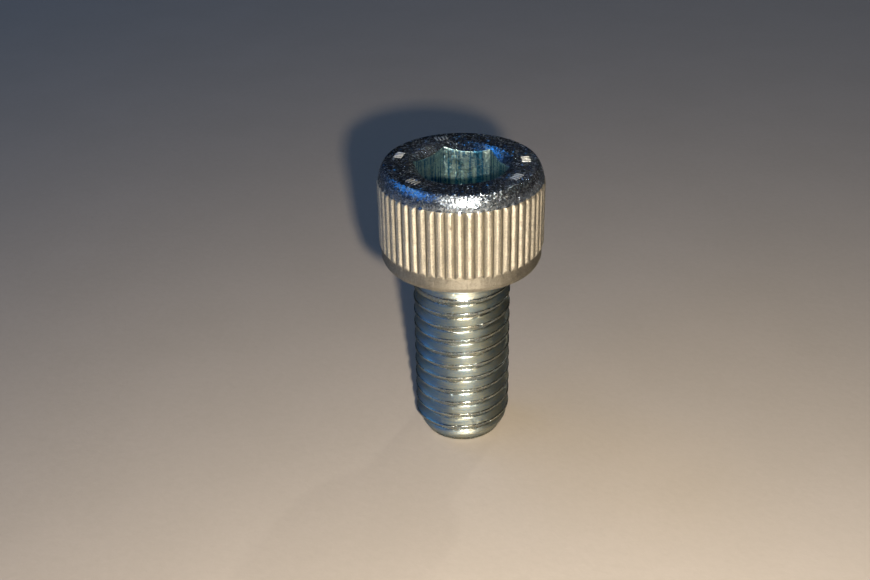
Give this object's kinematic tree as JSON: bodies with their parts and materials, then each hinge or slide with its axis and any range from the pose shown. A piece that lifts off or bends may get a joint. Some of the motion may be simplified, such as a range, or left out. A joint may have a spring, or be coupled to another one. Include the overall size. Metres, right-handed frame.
{
  "type": "hex socket cap screw",
  "caption": "Short zinc-plated machine screw with a knurled cylindrical head, a hex key socket and a right-hand thread along its shank, standing on its tip.",
  "frame": {"origin": "middle of the tip's flat end, on which the screw stands", "axes": "+Z along the screw's axis from the tip to the head's flat top; two corners of the hex socket lie over the X axis, so two of its flats face Y"},
  "size_m": [0.0162, 0.0162, 0.0301],
  "materials": {
    "zinc_plate": "bright passivated zinc plate on cold-formed steel, satin on the knurl and glossy on the top and edge"
  },
  "bodies": {
    "root": {"cap_screw": "zinc_plate"}
  },
  "joints": []
}
